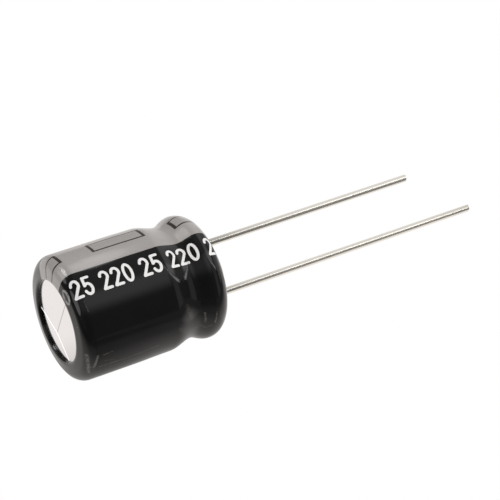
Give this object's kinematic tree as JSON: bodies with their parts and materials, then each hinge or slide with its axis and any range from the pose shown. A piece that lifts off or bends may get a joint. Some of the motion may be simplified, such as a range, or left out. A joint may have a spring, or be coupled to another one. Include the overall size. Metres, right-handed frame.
{
  "type": "radial electrolytic capacitor",
  "caption": "Radial aluminium electrolytic capacitor: black sleeved can with a grey polarity stripe, scored vent panel, crimped rubber seal and parallel tinned leads.",
  "frame": {"origin": "on the can's axis, in the plane that the sleeve's vent rim rests on", "axes": "+Z along the can towards the leads, +X through the positive lead, the negative lead and the stripe at -X"},
  "size_m": [0.0104, 0.0104, 0.0395],
  "materials": {
    "sleeve_film": "glossy black heat-shrink film with a printed warm-grey stripe",
    "can_aluminium": "bright drawn aluminium, lightly brushed on the vent panel",
    "seal_rubber": "moulded black rubber, matt",
    "tinned_wire": "tin-plated drawn wire, satin",
    "terminal_aluminium": "pressed aluminium",
    "etched_foil": "etched and formed foil, matt grey",
    "plain_foil": "etched foil, light grey",
    "separator_paper": "wet kraft paper",
    "closing_tape": "adhesive paper tape"
  },
  "bodies": {
    "root": {"sleeve": "sleeve_film", "can": "can_aluminium", "bung": "seal_rubber", "lead_positive": "tinned_wire", "lead_negative": "tinned_wire", "terminal_positive": "terminal_aluminium", "terminal_negative": "terminal_aluminium", "anode_foil": "etched_foil", "cathode_foil": "plain_foil", "separator_inner": "separator_paper", "separator_outer": "separator_paper", "winding_tape": "closing_tape"}
  },
  "joints": []
}
